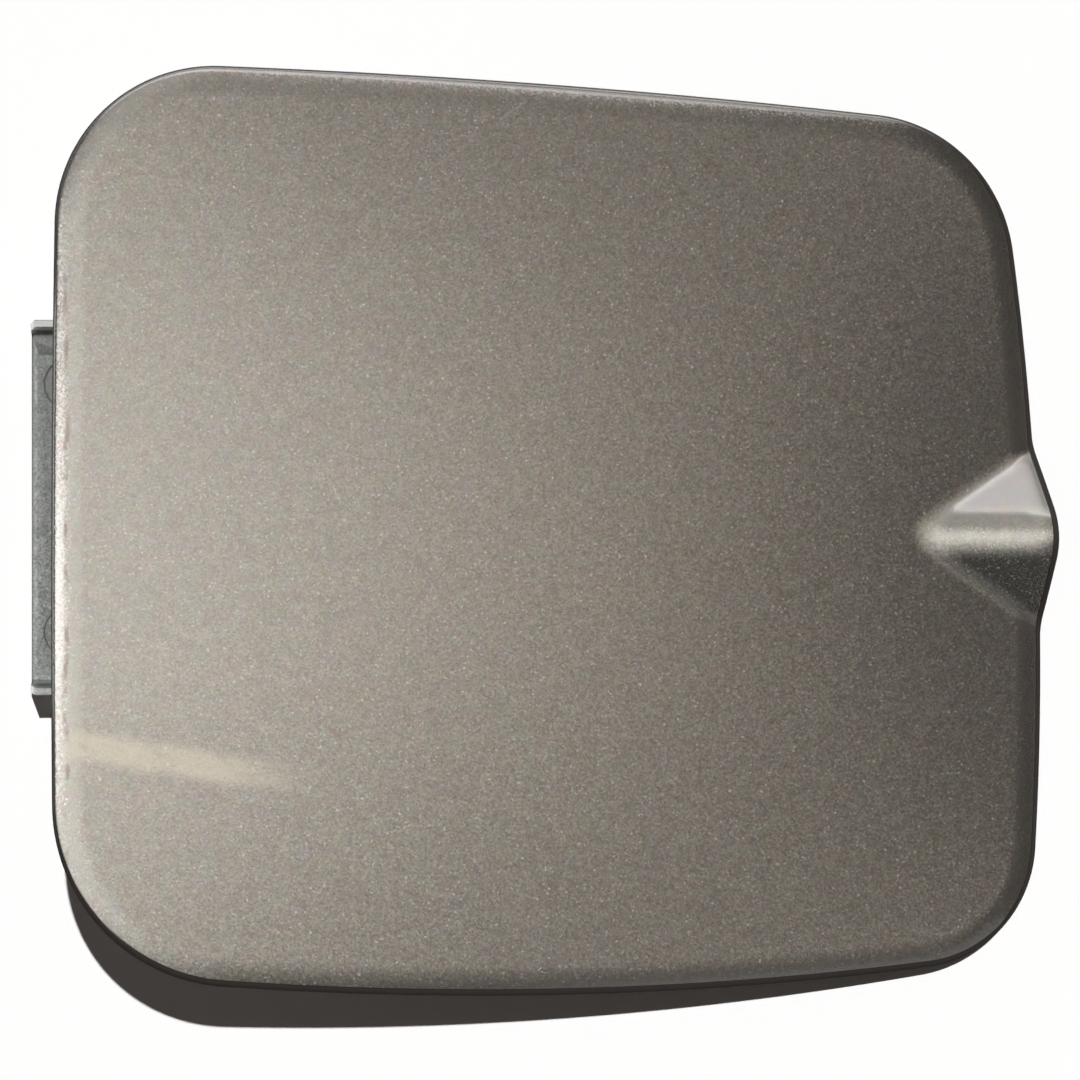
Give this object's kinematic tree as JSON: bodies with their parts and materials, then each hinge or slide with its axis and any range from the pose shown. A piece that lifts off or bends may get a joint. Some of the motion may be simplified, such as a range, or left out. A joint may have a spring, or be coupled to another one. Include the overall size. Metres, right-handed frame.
{
  "type": "car fuel door",
  "caption": "Painted car fuel door with a raised finger pull, folded rim, pressed inner panel and a sprung hinge on a bolt-on bracket.",
  "frame": {"origin": "middle of the two bolt holes, on the underside of the bracket's plate", "axes": "+Z out of the car along the bolts, +Y up along the hinge pin, +X from the hinge to the pull"},
  "size_m": [0.172, 0.1505, 0.0331],
  "materials": {
    "door_paint": "metallic paint under clear coat",
    "inner_paint": "satin metallic paint",
    "bracket_paint": "dark grey metallic paint",
    "zinc": "zinc plated",
    "spring_steel": "oiled spring steel",
    "bush_plastic": "natural nylon",
    "rubber": "matt",
    "sealer": "matt mastic",
    "hook_plastic": "moulded grain"
  },
  "bodies": {
    "bracket": {"hinge_bracket": "bracket_paint", "hinge_pin": "zinc", "pin_clip": "spring_steel"},
    "door": {"outer_panel": "door_paint", "inner_panel": "inner_paint", "sealer_pads": "sealer", "hinge_arm": "inner_paint", "arm_rivets": "zinc", "upper_bush": "bush_plastic", "lower_bush": "bush_plastic", "hinge_spring": "spring_steel", "upper_bumper": "rubber", "lower_bumper": "rubber", "cap_hook": "hook_plastic"}
  },
  "joints": [
    {"name": "door_hinge", "type": "hinge", "parent": "bracket", "child": "door", "pos_m": [0.0154, 0, 0.0208], "axis": [0, -1, 0], "range_deg": [0, 92], "stiffness_Nm_per_rad": 0.06, "springref_deg": -20.05, "deforming": ["hinge_spring"]}
  ]
}
